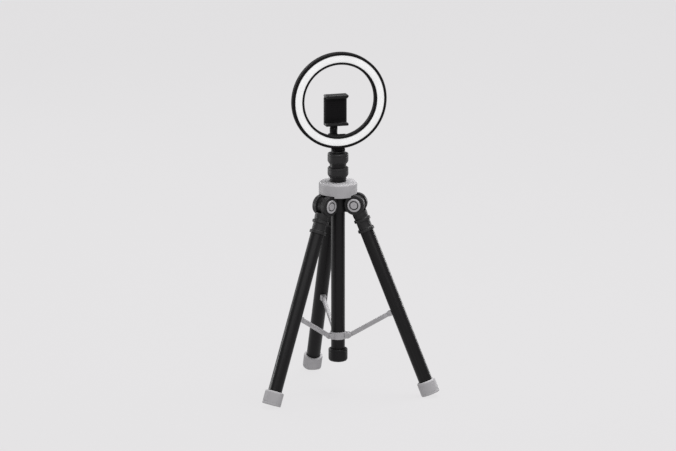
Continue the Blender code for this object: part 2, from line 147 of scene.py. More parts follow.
# column and head details
BUSH_R = (12.75, 14.5)
BUSH_BOTTOM = 482.0
CAP_FLOOR_Z = 74.0
HEAD_DISC_R = 14.5
HEAD_DISC_Z = (510.3, 515.3)
PLUG_BOTTOM = 481.0
LUG_MIDDLE = 10.3
LUG_HALF = 3.8
TILT_PIN_R = 1.9
TILT_PIN_HALF = 14.0
TILT_BORE_R = 2.2
RING_SEAM = 12.4
RING_WALL = 2.0
MOUNT_PLATE_Y = (2.3, 8.0)
SCREW_COUNT = 8
SCREW_CIRCLE_R = 88.7

# phone clamp details
SPIGOT_R = 5.0
BOSS_R = 12.0
BOSS_BACK = 34.5
SWIVEL_PIN_R = 3.0
SWIVEL_BORE_R = 3.3
ROD_R = 2.0
ROD_BORE_R = 2.4
ROD_X = 16.0
ROD_Y = 21.5
PAD_HALF_W = 20.0

lean = math.radians(LEG_LEAN)
sleeve_low, sleeve_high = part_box("column_sleeve")
AXIS = Vector(((sleeve_low[0] + sleeve_high[0]) / 2, (sleeve_low[1] + sleeve_high[1]) / 2, 0.0))

record = frame["record"]
BODY_OF = {node: body for body, nodes in record["behaviour"]["bodies"].items() for node in nodes}
SLOT_OF = {entry["node"]: entry["material_slot"] for entry in record["subparts"]}


# ---------------------------------------------------------------- materials
BLACK = (0.0075, 0.007, 0.0075)
CLOUD_SCALE = 38.0              # blotches of colour
CLOUD_SHARES = (0.86, 1.12)     # of the colour, in the darkest and the lightest blotch
GLOSS_SCALE = 90.0              # blotches of gloss
GLOSS_STEPS = (-0.07, 0.09)     # added to the roughness
EDGE_SPAN = (0.52, 0.62)        # pointiness where rubbing starts and where it is full
GRAIN_DEPTH = 0.00012           # in metres


def moulded(name, color, roughness, grain, bump, wear, specular=0.5, metallic=0.0):
    """A surface with fine grain, blotchy gloss and edges that are rubbed lighter."""
    mat = bpy.data.materials.new(name)
    mat.use_nodes = True
    tree = mat.node_tree
    nodes, links = tree.nodes, tree.links
    shader = nodes["Principled BSDF"]
    shader.inputs["Metallic"].default_value = metallic
    shader.inputs["Specular IOR Level"].default_value = specular
    place = nodes.new("ShaderNodeTexCoord")

    def noise(scale, detail=3.0):
        node = nodes.new("ShaderNodeTexNoise")
        node.inputs["Scale"].default_value = scale
        node.inputs["Detail"].default_value = detail
        links.new(place.outputs["Object"], node.inputs["Vector"])
        return node.outputs["Fac"]

    def span(source, low, high, from_low=0.0, from_high=1.0):
        node = nodes.new("ShaderNodeMapRange")
        node.inputs["From Min"].default_value = from_low
        node.inputs["From Max"].default_value = from_high
        node.inputs["To Min"].default_value = low
        node.inputs["To Max"].default_value = high
        links.new(source, node.inputs["Value"])
        return node.outputs["Result"]

    def mix(factor, first, second):
        node = nodes.new("ShaderNodeMix")
        node.data_type = "RGBA"
        links.new(factor, node.inputs["Factor"])
        for socket, value in ((node.inputs["A"], first), (node.inputs["B"], second)):
            if isinstance(value, tuple):
                socket.default_value = (*value, 1.0)
            else:
                links.new(value, socket)
        return node.outputs["Result"]

    dark = tuple(v * CLOUD_SHARES[0] for v in color)
    light = tuple(min(1.0, v * CLOUD_SHARES[1]) for v in color)
    worn = tuple(min(1.0, v * 1.5 + 0.02) for v in color)
    cloud = mix(noise(CLOUD_SCALE, 5.0), dark, light)
    edge = nodes.new("ShaderNodeNewGeometry")
    rubbed = span(edge.outputs["Pointiness"], 0.0, wear, *EDGE_SPAN)
    tint = mix(rubbed, cloud, worn)
    links.new(tint, shader.inputs["Base Color"])
    gloss = span(noise(GLOSS_SCALE, 6.0), roughness + GLOSS_STEPS[0], roughness + GLOSS_STEPS[1])
    links.new(gloss, shader.inputs["Roughness"])
    height = nodes.new("ShaderNodeBump")
    height.inputs["Strength"].default_value = bump
    height.inputs["Distance"].default_value = GRAIN_DEPTH
    links.new(noise(grain, 2.0), height.inputs["Height"])
    links.new(height.outputs["Normal"], shader.inputs["Normal"])
    return mat


def brushed(name, color, roughness):
    """Turned steel: fine rings of scratches."""
    mat = moulded(name, color, roughness, grain=1500.0, bump=0.1, wear=0.3, metallic=1.0)
    tree = mat.node_tree
    wave = tree.nodes.new("ShaderNodeTexWave")
    wave.wave_type = "RINGS"
    wave.inputs["Scale"].default_value = 700.0
    wave.inputs["Distortion"].default_value = 2.0
    place = tree.nodes["Texture Coordinate"]
    tree.links.new(place.outputs["Object"], wave.inputs["Vector"])
    bump = tree.nodes["Bump"]
    tree.links.new(wave.outputs["Fac"], bump.inputs["Height"])
    return mat


def diffuser_material():
    """Opal plastic that glows a little from the board behind it."""
    mat = moulded("opal", (0.70, 0.70, 0.70), 0.42, grain=900.0, bump=0.15, wear=0.1)
    shader = mat.node_tree.nodes["Principled BSDF"]
    shader.inputs["Emission Color"].default_value = (1.0, 1.0, 1.0, 1.0)
    shader.inputs["Emission Strength"].default_value = 0.15
    shader.inputs["Subsurface Weight"].default_value = 0.15
    shader.inputs["Subsurface Radius"].default_value = (0.004, 0.004, 0.004)
    return mat


LOOKS = {
    "black_plastic": moulded("black_moulding", BLACK, 0.42, grain=1400.0, bump=0.35, wear=0.5,
                             specular=0.15),
    "black_tube": moulded("black_coat", BLACK, 0.34, grain=900.0, bump=0.22, wear=0.4,
                          specular=0.15),
    "grey_plastic": moulded("grey_moulding", (0.325, 0.318, 0.327), 0.5, grain=1300.0, bump=0.35,
                            wear=0.35, specular=0.4),
    "foot_rubber": moulded("grey_rubber", (0.322, 0.315, 0.324), 0.62, grain=1100.0, bump=0.5,
                           wear=0.3, specular=0.3),
    "pad_rubber": moulded("black_rubber", (0.0055, 0.005, 0.0055), 0.75, grain=1000.0, bump=0.6,
                          wear=0.3, specular=0.1),
    "steel": brushed("steel", (0.42, 0.42, 0.43), 0.3),
    "diffuser": diffuser_material(),
    "light_guide": moulded("frosted_sheet", (0.8, 0.8, 0.8), 0.5, grain=900.0, bump=0.2, wear=0.1),
    "led_board": moulded("solder_mask", (0.72, 0.72, 0.69), 0.4, grain=700.0, bump=0.2, wear=0.2),
}
# the ring's darker colour is painted shade and the grips' paler colour is painted sheen; their
# roughness and specular are their own gloss
RING_BLACK_PAINTED_SHADE = moulded("ring_moulding_painted_shade", (0.0065, 0.006, 0.0065), 0.62, grain=1200.0, bump=0.4,
                     wear=0.4, specular=0.06)
GRIP_BLACK_PAINTED_SHEEN = moulded("grip_moulding_painted_sheen", (0.0095, 0.009, 0.0095), 0.5, grain=1200.0, bump=0.45,
                     wear=0.5, specular=0.28)


def material_for(node, slot):
    """A slot's material, but the ring is duller and darker, its darker colour painted shade, and the
    knuckles and collars are paler, their paler colour painted sheen.
    """
    if node.startswith("ring_") and slot == "black_plastic":
        return RING_BLACK_PAINTED_SHADE
    if node.endswith("_knuckle") or node.startswith("lock_collar"):
        return GRIP_BLACK_PAINTED_SHEEN
    return LOOKS[slot]


# ---------------------------------------------------------------- mesh tools
def shape(name, mesh):
    """A new object in the scene."""
    obj = bpy.data.objects.new(name, mesh)
    bpy.context.scene.collection.objects.link(obj)
    return obj


def bake(obj):
    """Turn an object and its modifiers into one plain mesh."""
    graph = bpy.context.evaluated_depsgraph_get()
    mesh = bpy.data.meshes.new_from_object(obj.evaluated_get(graph))
    name, where = obj.name, obj.matrix_world.copy()
    bpy.data.objects.remove(obj, do_unlink=True)
    work = bmesh.new()
    work.from_mesh(mesh)
    bmesh.ops.remove_doubles(work, verts=work.verts, dist=0.000005)
    bmesh.ops.recalc_face_normals(work, faces=work.faces)
    work.to_mesh(mesh)
    work.free()
    fresh = shape(name, mesh)
    fresh.matrix_world = where
    return fresh


def turned(obj, turn=(0, 0, 0), at=(0, 0, 0)):
    """Turn, then shift, the mesh itself."""
    move = Matrix.Translation([v * MM for v in at])
    for angle, axis in zip(reversed(turn), "ZYX"):
        move = move @ Matrix.Rotation(math.radians(angle), 4, axis)
    obj.data.transform(move)
    return obj


def soften(profile, radius, closed, count=4):
    """Round each corner of an (r, z) profile; points on the axis stay."""
    result = []
    total = len(profile)
    for i, corner in enumerate(profile):
        if not closed and i in (0, total - 1):
            result.append(corner)
            continue
        here = Vector(corner)
        before = Vector(profile[i - 1]) - here
        after = Vector(profile[(i + 1) % total]) - here
        reach = min(radius, before.length * 0.4, after.length * 0.4)
        start = here + before.normalized() * reach
        end = here + after.normalized() * reach
        for k in range(count + 1):
            t = k / count
            point = start * (1 - t) ** 2 + here * 2 * t * (1 - t) + end * t ** 2
            result.append((point.x, point.y))
    return result


def lathe(profile, segments=ROUND, closed=False, soft=0.35):
    """Turn an (r, z) profile about local Z, its corners rounded by soft."""
    if soft:
        profile = soften(profile, soft, closed)
    work = bmesh.new()
    rings = []
    for r, z in profile:
        if r < 1e-6:
            rings.append([work.verts.new((0, 0, z * MM))])
            continue
        ring = []
        for k in range(segments):
            angle = 2 * math.pi * k / segments
            ring.append(work.verts.new((r * MM * math.cos(angle), r * MM * math.sin(angle), z * MM)))
        rings.append(ring)
    pairs = list(zip(rings, rings[1:]))
    if closed:
        pairs.append((rings[-1], rings[0]))
    for upper, lower in pairs:
        if len(upper) == 1 and len(lower) == 1:
            continue
        for k in range(segments):
            n = (k + 1) % segments
            corners = [upper[k % len(upper)], lower[k % len(lower)],
                       lower[n % len(lower)], upper[n % len(upper)]]
            unique = list(dict.fromkeys(corners))
            work.faces.new(unique)
    bmesh.ops.recalc_face_normals(work, faces=work.faces)
    mesh = bpy.data.meshes.new("lathe")
    work.to_mesh(mesh)
    work.free()
    return shape("lathe", mesh)


def cylinder(radius, low, high, segments=ROUND, soft=0.3):
    return lathe([(0, high), (radius, high), (radius, low), (0, low)], segments, soft=soft)


def tube(outer, inner, low, high, segments=ROUND, soft=0.3):
    profile = [(inner, high), (outer, high), (outer, low), (inner, low)]
    return lathe(profile, segments, closed=True, soft=soft)


def drill(radius, low, high, turn=(0, 0, 0), at=(0, 0, 0)):
    """A plain cylinder that cuts a bore."""
    return turned(cylinder(radius, low, high, SMALL_ROUND, 0), turn, at)


def box(low, high, bevel=0.0, segments=4):
    size = [(b - a) * MM for a, b in zip(low, high)]
    middle = [(b + a) / 2 * MM for a, b in zip(low, high)]
    work = bmesh.new()
    bmesh.ops.create_cube(work, size=1.0)
    bmesh.ops.scale(work, vec=size, verts=work.verts)
    bmesh.ops.translate(work, vec=middle, verts=work.verts)
    if bevel:
        bmesh.ops.bevel(work, geom=work.edges[:], offset=bevel * MM, segments=segments,
                        profile=0.5, affect="EDGES", clamp_overlap=True)
    mesh = bpy.data.meshes.new("box")
    work.to_mesh(mesh)
    work.free()
    return shape("box", mesh)


def slab(outline, half_thick, edge=0.0):
    """A plate with its outline in X and Z and its thickness in Y."""
    work = bmesh.new()
    verts = [work.verts.new((x * MM, -half_thick * MM, z * MM)) for x, z in outline]
    face = work.faces.new(verts)
    pushed = bmesh.ops.extrude_face_region(work, geom=[face])
    moved = [v for v in pushed["geom"] if isinstance(v, bmesh.types.BMVert)]
    bmesh.ops.translate(work, vec=(0, 2 * half_thick * MM, 0), verts=moved)
    bmesh.ops.recalc_face_normals(work, faces=work.faces)
    if edge:
        rims = [e for e in work.edges if abs(e.verts[0].co.y - e.verts[1].co.y) < 1e-7]
        bmesh.ops.bevel(work, geom=rims, offset=edge * MM, segments=3, profile=0.5,
                        affect="EDGES", clamp_overlap=True)
    mesh = bpy.data.meshes.new("slab")
    work.to_mesh(mesh)
    work.free()
    return shape("slab", mesh)


def arc(cx, cz, radius, start, stop, count):
    """Points on an arc, its angles in degrees from +X towards +Z."""
    steps = [start + (stop - start) * i / (count - 1) for i in range(count)]
    return [(cx + radius * math.cos(math.radians(a)), cz + radius * math.sin(math.radians(a)))
            for a in steps]


def join(target, others, operation="UNION"):
    """Join the others to a mesh, or cut them from it."""
    bpy.context.view_layer.update()
    for other in others:
        mod = target.modifiers.new(operation.lower(), "BOOLEAN")
        mod.operation = operation
        mod.solver = "EXACT"
        mod.object = other
    result = bake(target)
    for other in others:
        bpy.data.objects.remove(other, do_unlink=True)
    return result


def finish(obj, node, where, look=None, label=None, replaces=True, smooth=38.0):
    """Put a piece in the frame, on its node's body, with its slot's material."""
    obj.data.transform(where)
    obj.name = label or "fine_" + node
    obj.data.name = obj.name
    obj.data.materials.clear()
    obj.data.materials.append(material_for(node, look or SLOT_OF[node]))
    obj.data.shade_smooth()
    obj.data.set_sharp_from_angle(angle=math.radians(smooth))
    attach(obj, BODY_OF[node])
    if replaces:
        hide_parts(node)
    return obj


def pose(at=(0, 0, 0), turn=(0, 0, 0)):
    """Place and turn, X first, as a matrix."""
    move = Matrix.Translation([v * MM for v in at])
    for angle, axis in zip(reversed(turn), "ZYX"):
        move = move @ Matrix.Rotation(math.radians(angle), 4, axis)
    return move


ROOT = Matrix.Translation(AXIS)
ACROSS = (90, 0, 0)          # turns local Z to -Y
SIDEWAYS = (0, 90, 0)        # turns local Z to X


# ---------------------------------------------------------------- hub and column
def radial(obj, angle):
    """Turn about the column."""
    return turned(obj, (0, 0, angle))


def make_hub():
    """The hub with its three tongues, the cap over it, the sleeve and the bush in it."""
    low, high = HUB_RING_Z
    body = tube(HUB_RING_R, TUBE_R + TUBE_FIT, low, high)
    outline = ([(16.0, high - 0.2), (16.0, low + 0.2), (28.0, low - 0.6)]
               + arc(PIVOT_R, PIVOT_Z, LUG_BARREL_R, -110.0, 115.0, 48))
    tongues = [radial(slab(outline, TONGUE_HALF, 0.5), angle) for angle in LEG_AZIMUTH]
    bores = [radial(drill(PIVOT_BORE_R, -20, 20, ACROSS, (PIVOT_R, 0, PIVOT_Z)), angle)
             for angle in LEG_AZIMUTH]
    column = cylinder(TUBE_R + TUBE_FIT, low - 6, high + 10, ROUND, 0)
    body = join(join(body, tongues), bores + [column], "DIFFERENCE")
    finish(body, "hub_body", ROOT)

    bore = SLEEVE_R + GAP
    shoulder = arc(HUB_R - HUB_RIM, HUB_TOP - HUB_RIM, HUB_RIM, 90, 0, 12)
    profile = [(bore, HUB_TOP)] + shoulder
    profile += [(HUB_R, HUB_BOTTOM + 0.8), (HUB_R - 0.8, HUB_BOTTOM), (bore, HUB_BOTTOM)]
    cap = lathe(profile, 160, closed=True, soft=0.5)
    pockets = []
    for angle in LEG_AZIMUTH:
        pocket = cylinder(BARREL_R + POCKET_FIT, -22, 22, ROUND, 0)
        pockets.append(radial(turned(pocket, ACROSS, (PIVOT_R, 0, PIVOT_Z)), angle))
    cap = join(cap, pockets, "DIFFERENCE")
    finish(cap, "hub_cap", ROOT)
    finish(tube(SLEEVE_R, SLEEVE_BORE, HUB_BOTTOM + GAP, SLEEVE_TOP), "column_sleeve", ROOT)
    finish(tube(BUSH_R[1], BUSH_R[0], BUSH_BOTTOM, SLEEVE_TOP), "pole_bush", ROOT)


def collar_profile(low, high, bore, shoulder=None, top_bore=None):
    """Rounded shoulder above, long chamfer below and a fine witness line."""
    edge = 2.2
    line = (low + high) / 2 + 5.2
    points = [(COLLAR_R - edge, high), (COLLAR_R - 0.65, high - 0.65), (COLLAR_R, high - edge),
              (COLLAR_R, line + 0.5), (COLLAR_R - 0.45, line + 0.2), (COLLAR_R - 0.45, line - 0.2),
              (COLLAR_R, line - 0.5), (COLLAR_R, low + 5.2), (COLLAR_R - 2.9, low), (bore, low)]
    if shoulder is None:
        return [(bore, high)] + points
    return [(top_bore, high)] + points + [(bore, shoulder), (top_bore, shoulder)]


def make_collars():
    """Two twist locks: the lower one on the sleeve, the upper one over its top."""
    low, high = LOWER_COLLAR_Z
    piece = lathe(collar_profile(low, high, SLEEVE_R + GAP), 128, closed=True, soft=0.7)
    finish(piece, "lock_collar_lower", ROOT)
    low, high = UPPER_COLLAR_Z
    profile = collar_profile(low, high, SLEEVE_R + GAP, COLLAR_SHOULDER_Z, POLE_R + 0.35)
    finish(lathe(profile, 128, closed=True, soft=0.7), "lock_collar_upper", ROOT)


def make_centre():
    """The sliding centre tube, its bottom cap and the collar that the struts push."""
    low, high = CENTRE_TUBE_Z
    finish(tube(TUBE_R, POLE_R + 0.5, low, high), "centre_tube", ROOT)
    low, high = BOTTOM_CAP_Z
    line = high - 6.0
    profile = [(0, CAP_FLOOR_Z), (SLEEVE_BORE, CAP_FLOOR_Z), (SLEEVE_BORE, high),
               (BOTTOM_CAP_R - 1.5, high),
               (BOTTOM_CAP_R, high - 1.5), (BOTTOM_CAP_R, line + 0.5), (BOTTOM_CAP_R - 0.5, line),
               (BOTTOM_CAP_R, line - 0.5), (BOTTOM_CAP_R, low + 5.0), (BOTTOM_CAP_R - 2.0, low + 1.6),
               (BOTTOM_CAP_R - 6.0, low), (0, low)]
    finish(lathe(profile, soft=0.9), "column_bottom_cap", ROOT)

    low, high = SPREADER_Z
    collar = lathe([(SLEEVE_BORE, high), (SPREADER_R, high), (SPREADER_R, low), (SLEEVE_BORE, low)],
                   closed=True, soft=0.8)
    ear_shape = [(15.6, high - 1.0), (15.6, low + 1.6), (24.0, low + 2.0)]
    ear_shape += arc(STRUT_IN_R, STRUT_IN_Z, 4.6, -60.0, 60.0, 18) + [(23.0, high - 1.0)]
    ears = []
    for angle in LEG_AZIMUTH:
        for side in (-1, 1):
            ear = turned(slab(ear_shape, EAR_HALF_THICK, 0.35), at=(0, side * EAR_MIDDLE, 0))
            rivet = turned(cylinder(RIVET_R, -0.6, 0.6, SMALL_ROUND, 0.5), ACROSS,
                           (STRUT_IN_R, side * (EAR_MIDDLE + 1.8), STRUT_IN_Z))
            ears.append(radial(join(ear, [rivet]), angle))
    finish(join(collar, ears), "spreader_collar", ROOT)


# ---------------------------------------------------------------- legs
def make_knuckle(node, where):
    """A drum with a slot for the hub's tongue, and a flanged neck into the leg tube."""
    face = BARREL_HALF
    drum = [(0, face), (15.2, face), (15.8, face - 0.6), (16.4, face), (BARREL_R, face)]
    drum += [(r, -z) for r, z in reversed(drum)]
    drum = turned(lathe(drum, soft=2.0), ACROSS)
    spigot = TUBE_R - TUBE_WALL - GAP
    neck = lathe([(0, -5.0), (NECK_R, -5.0), (NECK_R, -26.0), (NECK_R - 1.0, -32.0),
                  (FLANGE_R, -33.0), (FLANGE_R, -38.4), (WAIST_R, -39.4), (WAIST_R, -54.0),
                  (FLANGE_R, -55.0), (FLANGE_R, TUBE_TOP + GAP), (spigot, TUBE_TOP + GAP),
                  (spigot, SPIGOT_END + 1.0), (spigot - 1.0, SPIGOT_END), (0, SPIGOT_END)], soft=0.8)
    slot = box((-30, -SLOT_HALF, -18.8), (30, SLOT_HALF, 30))
    bore = drill(PIVOT_BORE_R, -30, 30, ACROSS)
    finish(join(join(drum, [neck]), [slot, bore], "DIFFERENCE"), node, where)


def make_foot(node, where):
    """A cup on the tube's end, ringed below and cut level with the floor."""
    bottom = -LEG_LENGTH
    socket = bottom + FOOT_FLOOR
    profile = [(0, socket), (SLEEVE_BORE, socket), (SLEEVE_BORE, -FOOT_TOP),
               (FOOT_R - 2.2, -FOOT_TOP), (FOOT_R - 0.7, -FOOT_TOP - 1.0), (FOOT_R, -FOOT_TOP - 3.2),
               (FOOT_R, bottom + 5.4), (FOOT_R - 0.4, bottom + 5.0), (FOOT_R, bottom + 4.6),
               (FOOT_R, bottom + 0.6), (FOOT_R - 0.6, bottom)]
    for groove in (16.5, 13.0, 9.5):
        profile += [(groove + 0.6, bottom), (groove + 0.6, bottom + 0.8),
                    (groove - 0.6, bottom + 0.8), (groove - 0.6, bottom)]
    profile.append((0, bottom))
    foot = lathe(profile, soft=0.5)
    floor_cut = box((-60, -60, -40), (60, 60, 0))
    height = PIVOT_Z - LEG_LENGTH * math.cos(lean)
    turned(floor_cut, (0, LEG_LEAN, 0),
           (-height * math.sin(lean), 0, -LEG_LENGTH - height * math.cos(lean)))
    finish(join(foot, [floor_cut], "DIFFERENCE"), node, where)


def make_cap(prefix, label, side, where):
    """A pivot cap with a ring groove, and a black ring laid in the groove as painted shade, so the
    groove reads dark.
    """
    turn = (-90 * side, 0, 0)
    at = (0, side * (BARREL_HALF + GAP), 0)
    cap = lathe([(0, 1.9), (1.1, 1.9), (1.5, 2.3), (7.3, 2.3), (7.5, 0.6), (9.7, 0.6), (9.9, 2.4),
                 (CAP_R - 1.1, 2.4), (CAP_R, 1.3), (CAP_R, 0.0), (0, 0.0)], soft=0.5)
    finish(turned(cap, turn, at), prefix + "cap_" + label, where)
    # the black ring in the groove is painted shade, not a part of the cap
    inner, outer = GROOVE_SHADE_R
    groove_shade_ring = lathe([(inner, 1.2), (outer, 1.2), (outer, 0.62), (inner, 0.62)], closed=True, soft=0.2)
    finish(turned(groove_shade_ring, turn, at), prefix + "cap_" + label, where, look="black_plastic",
           label=prefix + "groove_shade_" + label, replaces=False)


def make_bracket(prefix, where):
    """A saddle under the tube that holds the strut's outer pin."""
    middle = -BRACKET_S
    hinge = (-STRUT_INWARD, 0, middle)
    saddle = box((-23.0, -BRACKET_HALF, middle - BRACKET_HALF),
                 (-7, BRACKET_HALF, middle + BRACKET_HALF), 1.4)
    cuts = [cylinder(SLEEVE_BORE, middle - 20, middle + 20, ROUND, 0),
            box((-40, -STRUT_HALF_THICK - STRUT_FIT, middle - 20),
                (-15.5, STRUT_HALF_THICK + STRUT_FIT, middle + 20)),
            drill(STRUT_BORE_R, -20, 20, ACROSS, hinge)]
    finish(join(saddle, cuts, "DIFFERENCE"), prefix + "bracket", where)
    pin = turned(cylinder(STRUT_PIN_R, -5.5, 5.5, SMALL_ROUND), ACROSS, hinge)
    finish(pin, prefix + "strut_pin", where)


def make_leg(name, azimuth):
    """One leg from its drum to its foot, made upright and then leaned out, with its strut."""
    at = (PIVOT_R * math.cos(math.radians(azimuth)), PIVOT_R * math.sin(math.radians(azimuth)), PIVOT_Z)
    where = ROOT @ pose(at, (0, -LEG_LEAN, azimuth))
    prefix = f"leg_{name}_"
    make_knuckle(prefix + "knuckle", where)
    pin = turned(cylinder(PIVOT_PIN_R, -BARREL_HALF, BARREL_HALF, SMALL_ROUND), ACROSS)
    finish(pin, prefix + "pin", where)
    make_cap(prefix, "right", -1, where)
    make_cap(prefix, "left", 1, where)
    shaft = tube(TUBE_R, TUBE_R - TUBE_WALL, -LEG_LENGTH + FOOT_FLOOR + TUBE_FIT, TUBE_TOP)
    finish(shaft, prefix + "tube", where)
    make_foot(prefix + "foot", where)
    make_bracket(prefix, where)
    make_strut("strut_" + name, where)


def make_strut(node, leg):
    """A flat bar from the leg's bracket to the collar's ears, hollowed along both sides."""
    out_r = PIVOT_R + BRACKET_S * math.sin(lean) - STRUT_INWARD * math.cos(lean)
    out_z = PIVOT_Z - BRACKET_S * math.cos(lean) - STRUT_INWARD * math.sin(lean)
    run, rise = out_r - STRUT_IN_R, out_z - STRUT_IN_Z
    length, tilt = math.hypot(run, rise), math.degrees(math.atan2(run, rise))
    where = leg @ pose((-STRUT_INWARD, 0, -BRACKET_S), (0, tilt + LEG_LEAN, 0))
    belly = STRUT_HALF_WIDTH
    outline = arc(0, 0, STRUT_END_R, 20.0, 160.0, 18) + [(-belly, -9.0), (-belly, -length + 9.0)]
    outline += arc(0, -length, STRUT_END_R, 200.0, 340.0, 18)
    outline += [(belly, -length + 9.0), (belly, -9.0)]
    bar = slab(outline, STRUT_HALF_THICK, 0.7)
    cuts = [drill(STRUT_BORE_R, -20, 20, ACROSS)]
    for side in (-1, 1):
        cuts.append(turned(box((-2.1, -0.8, -length + 14), (2.1, 0.8, -14), 0.7),
                           at=(0, side * STRUT_HALF_THICK, 0)))
    finish(join(bar, cuts, "DIFFERENCE"), node, where)


# ---------------------------------------------------------------- head
def make_pole():
    """The inner pole, the head base plugged into it and the tilt pin."""
    finish(tube(POLE_R, POLE_BORE, POLE_BOTTOM, POLE_TOP), "inner_pole", ROOT)
    plug = POLE_BORE - GAP
    low, high = HEAD_DISC_Z
    base = lathe([(0, high), (HEAD_DISC_R - 0.8, high), (HEAD_DISC_R, high - 0.8),
                  (HEAD_DISC_R, low), (plug, low), (plug, PLUG_BOTTOM), (0, PLUG_BOTTOM)])
    lugs = [turned(cylinder(LUG_R, -LUG_HALF, LUG_HALF, 64, 0.8), SIDEWAYS,
                   (side * LUG_MIDDLE, 0, TILT_Z)) for side in (-1, 1)]
    cuts = [box((-6.5, -20, TILT_Z - LUG_R - 0.8), (6.5, 20, TILT_Z + 20)),
            drill(TILT_BORE_R, -20, 20, SIDEWAYS, (0, 0, TILT_Z))]
    finish(join(join(base, lugs), cuts, "DIFFERENCE"), "head_base", ROOT)
    pin = turned(cylinder(TILT_PIN_R, -TILT_PIN_HALF, TILT_PIN_HALF, SMALL_ROUND), SIDEWAYS,
                 (0, 0, TILT_Z))
    sockets = [turned(cylinder(1.1, -0.8, 0.8, 6, 0), SIDEWAYS, (side * TILT_PIN_HALF, 0, TILT_Z))
               for side in (-1, 1)]
    finish(join(pin, sockets, "DIFFERENCE"), "tilt_pin", ROOT)


def make_mount(where):
    """The tilting tongue, the plate on the ring's back and the block that holds the stem."""
    up = -TILT_Z
    outline = arc(0, 0, LUG_R, 100.0, 290.0, 32)
    outline += [(7.0, 0.5), (15.5, 4.0), (15.5, 23.0), (3.1, 23.0), (3.1, 5.1)]
    tongue = turned(slab(outline, 6.1, 0.4), (0, 0, 90))
    front, back = MOUNT_PLATE_Y
    plate = box((-18, front, 524 + up), (18, back, 548 + up), 1.2)
    block = box((-10, 7.0, 526 + up), (10, 43.0, 543 + up), 2.4)
    cuts = [drill(TILT_BORE_R, -20, 20, SIDEWAYS),
            drill(SPIGOT_R + GAP, 530 + up, 560 + up, at=(0, ARM_Y, 0))]
    piece = join(join(tongue, [plate, block]), cuts, "DIFFERENCE")
    finish(piece, "ring_mount_block", where)


def ring_piece(profile, node, where, soft=0.5):
    """A ring turned about the lamp's axis."""
    piece = turned(lathe(profile, RING_ROUND, closed=True, soft=soft), ACROSS,
                   (0, 0, RING_Z - TILT_Z))
    finish(piece, node, where)


def screw_head(node, where, label, x, y, z):
    """A small pan head with a cross recess, its top to the rear."""
    head = lathe([(0, 0.7), (1.5, 0.6), (2.1, 0.0), (2.1, -0.3), (0, -0.3)], 48, soft=0.3)
    cross = [box((-1.3, -0.22, 0.2), (1.3, 0.22, 2.0)), box((-0.22, -1.3, 0.21), (0.22, 1.3, 2.1))]
    head = turned(join(head, cross, "DIFFERENCE"), (-90, 0, 0), (x, y, z))
    finish(head, node, where, look="steel", label=label, replaces=False)


def make_ring(where):
    """The housing, the two bezels, the opal face between them and the lamp's inside."""
    seam = RING_SEAM
    wall = RING_WALL
    housing = [(RING_R - wall, seam), (RING_R, seam), (RING_R, 1.5), (RING_R - 1.0, -0.9),
               (RING_R - 3.4, RING_BACK), (RING_HOLE_R + 3.4, RING_BACK), (RING_HOLE_R + 1.0, -0.9),
               (RING_HOLE_R, 1.5), (RING_HOLE_R, seam), (RING_HOLE_R + wall, seam),
               (RING_HOLE_R + wall, 0.6), (RING_R - wall, 0.6)]
    ring_piece(housing, "ring_rear_housing", where, 0.9)
    bottom = seam + GAP
    outer = [(BAND_R[1], RING_FRONT), (RING_R - 2.0, RING_FRONT), (RING_R - 0.6, RING_FRONT - 0.6),
             (RING_R, bottom + 0.4), (RING_R - 0.4, bottom), (BAND_R[1], bottom)]
    ring_piece(outer, "ring_outer_bezel", where, 0.6)
    inner = [(RING_HOLE_R + 2.0, RING_FRONT), (BAND_R[0], RING_FRONT), (BAND_R[0], bottom),
             (RING_HOLE_R + 0.4, bottom), (RING_HOLE_R, bottom + 0.4),
             (RING_HOLE_R + 0.6, RING_FRONT - 0.6)]
    ring_piece(inner, "ring_inner_bezel", where, 0.6)
    low, high = BAND_R[0] + GAP, BAND_R[1] - GAP
    middle = (low + high) / 2
    face = [(low, 14.1), (middle - 4, 14.5), (middle, 14.6), (middle + 4, 14.5), (high, 14.1),
            (high, 12.5), (low, 12.5)]
    ring_piece(face, "diffuser", where, 0.3)
    ring_piece([(79.0, 11.9), (98.5, 11.9), (98.5, 10.4), (79.0, 10.4)], "light_guide", where)
    ring_piece([(79.5, 2.6), (98.0, 2.6), (98.0, 1.0), (79.5, 1.0)], "led_board", where)


def make_screws(where):
    """Screws round the housing's back and at the corners of the mount's plate."""
    up = -TILT_Z
    for k in range(SCREW_COUNT):
        angle = math.radians(360.0 * (k + 0.5) / SCREW_COUNT)
        x, z = SCREW_CIRCLE_R * math.cos(angle), RING_Z + up + SCREW_CIRCLE_R * math.sin(angle)
        screw_head("ring_rear_housing", where, f"housing_screw_{k}", x, -RING_BACK, z)
    for k, x in enumerate((-14.0, 14.0)):
        for m, z in enumerate((528.5, 543.5)):
            label = f"mount_screw_{k}_{m}"
            screw_head("ring_mount_block", where, label, x, MOUNT_PLATE_Y[1], z + up)


def make_inlet(where):
    """A power socket low on the ring's back, with a steel shell in its port."""
    up = -TILT_Z
    inlet = box((33, MOUNT_PLATE_Y[0], 539 + up), (47, 9.0, 548 + up), 1.5)
    port = box((36, 5.0, 542 + up), (44, 20.0, 545 + up), 1.45, 8)
    finish(join(inlet, [port], "DIFFERENCE"), "power_inlet", where)
    shell = box((36.35, 5.3, 542.35 + up), (43.65, 8.7, 544.65 + up), 1.1, 6)
    hollow = box((36.65, 5.8, 542.65 + up), (43.35, 12.0, 544.35 + up), 0.8, 6)
    shell = join(shell, [hollow], "DIFFERENCE")
    finish(shell, "power_inlet", where, look="steel", label="inlet_shell", replaces=False)


